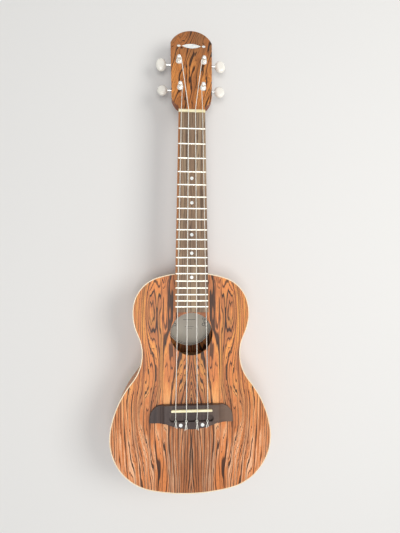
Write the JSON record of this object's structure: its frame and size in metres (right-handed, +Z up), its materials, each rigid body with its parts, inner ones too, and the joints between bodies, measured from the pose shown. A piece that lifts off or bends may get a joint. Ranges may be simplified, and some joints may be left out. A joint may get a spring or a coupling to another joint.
{
  "type": "ukulele",
  "caption": "Concert ukulele with a waisted box body, fretted neck, tied bridge, tilted headstock and open geared tuners whose buttons turn the posts through worms and wheels.",
  "frame": {"origin": "centre of the bounding box at the plane of the flat back, on which the instrument lies", "axes": "+Y along the neck from the tail to the headstock, +X towards the a string, +Z up out of the soundboard side"},
  "size_m": [0.2078, 0.6172, 0.0767],
  "materials": {
    "top_wood": "satin varnish over mirrored striped figure",
    "body_wood": "satin varnish",
    "inner_wood": "bare sanded",
    "binding": "satin",
    "paper": "matt paper",
    "neck_wood": "satin varnish",
    "dark_wood": "oiled",
    "veneer_wood": "satin varnish",
    "pearl": "polished",
    "fingerboard_wood": "oiled",
    "fret_metal": "polished",
    "bone": "polished",
    "steel": "plain",
    "nickel": "polished",
    "nylon": "clear nylon",
    "button_plastic": "polished",
    "brass": "machined"
  },
  "bodies": {
    "root": {"soundboard": "top_wood", "back": "body_wood", "rim_bass": "body_wood", "rim_treble": "body_wood", "neck_block": "inner_wood", "tail_block": "inner_wood", "top_linings": "inner_wood", "back_linings": "inner_wood", "soundboard_braces": "inner_wood", "back_braces": "inner_wood", "bridge_plate": "inner_wood", "soundhole_patch": "inner_wood", "top_binding": "binding", "back_binding": "binding", "end_strip": "binding", "label": "paper", "neck": "neck_wood", "heel_cap": "dark_wood", "neck_dowels": "inner_wood", "headplate": "veneer_wood", "head_inlay": "pearl", "fingerboard": "fingerboard_wood", "frets": "fret_metal", "position_dots": "pearl", "nut": "bone", "bridge": "dark_wood", "saddle": "bone", "bridge_bolts": "steel", "bridge_nuts": "steel", "bridge_caps": "pearl", "string_g": "nylon", "string_c": "nylon", "string_e": "nylon", "string_a": "nylon", "post_bushings": "nickel", "tuner_plates": "nickel", "plate_screws": "nickel"},
    "button_g": {"worm_g": "nickel", "button_g": "button_plastic"},
    "post_g": {"post_g": "nickel", "wheel_g": "brass", "wheel_screw_g": "nickel"},
    "button_c": {"worm_c": "nickel", "button_c": "button_plastic"},
    "post_c": {"post_c": "nickel", "wheel_c": "brass", "wheel_screw_c": "nickel"},
    "button_e": {"worm_e": "nickel", "button_e": "button_plastic"},
    "post_e": {"post_e": "nickel", "wheel_e": "brass", "wheel_screw_e": "nickel"},
    "button_a": {"worm_a": "nickel", "button_a": "button_plastic"},
    "post_a": {"post_a": "nickel", "wheel_a": "brass", "wheel_screw_a": "nickel"}
  },
  "joints": [
    {"name": "button_g_turn", "type": "hinge", "parent": "root", "child": "button_g", "pos_m": [-0.0152, 0.22562, 0.03153], "axis": [1, 0, 0], "continuous": true},
    {"name": "post_g_turn", "type": "hinge", "parent": "root", "child": "post_g", "pos_m": [-0.0152, 0.21801, 0.0331], "axis": [0, 0.2016, 0.9795], "continuous": true},
    {"name": "button_c_turn", "type": "hinge", "parent": "root", "child": "button_c", "pos_m": [-0.0168, 0.26509, 0.02341], "axis": [1, 0, 0], "continuous": true},
    {"name": "post_c_turn", "type": "hinge", "parent": "root", "child": "post_c", "pos_m": [-0.0168, 0.25748, 0.02497], "axis": [0, 0.2016, 0.9795], "continuous": true},
    {"name": "button_e_turn", "type": "hinge", "parent": "root", "child": "button_e", "pos_m": [0.0168, 0.26509, 0.02341], "axis": [1, 0, 0], "continuous": true},
    {"name": "post_e_turn", "type": "hinge", "parent": "root", "child": "post_e", "pos_m": [0.0168, 0.25748, 0.02497], "axis": [0, 0.2016, 0.9795], "continuous": true},
    {"name": "button_a_turn", "type": "hinge", "parent": "root", "child": "button_a", "pos_m": [0.0152, 0.22562, 0.03153], "axis": [1, 0, 0], "continuous": true},
    {"name": "post_a_turn", "type": "hinge", "parent": "root", "child": "post_a", "pos_m": [0.0152, 0.21801, 0.0331], "axis": [0, 0.2016, 0.9795], "continuous": true}
  ],
  "couplings": [
    {"joint": "post_g_turn", "follows": "button_g_turn", "ratio": -0.066667},
    {"joint": "post_c_turn", "follows": "button_c_turn", "ratio": -0.066667},
    {"joint": "post_e_turn", "follows": "button_e_turn", "ratio": 0.066667},
    {"joint": "post_a_turn", "follows": "button_a_turn", "ratio": 0.066667}
  ]
}
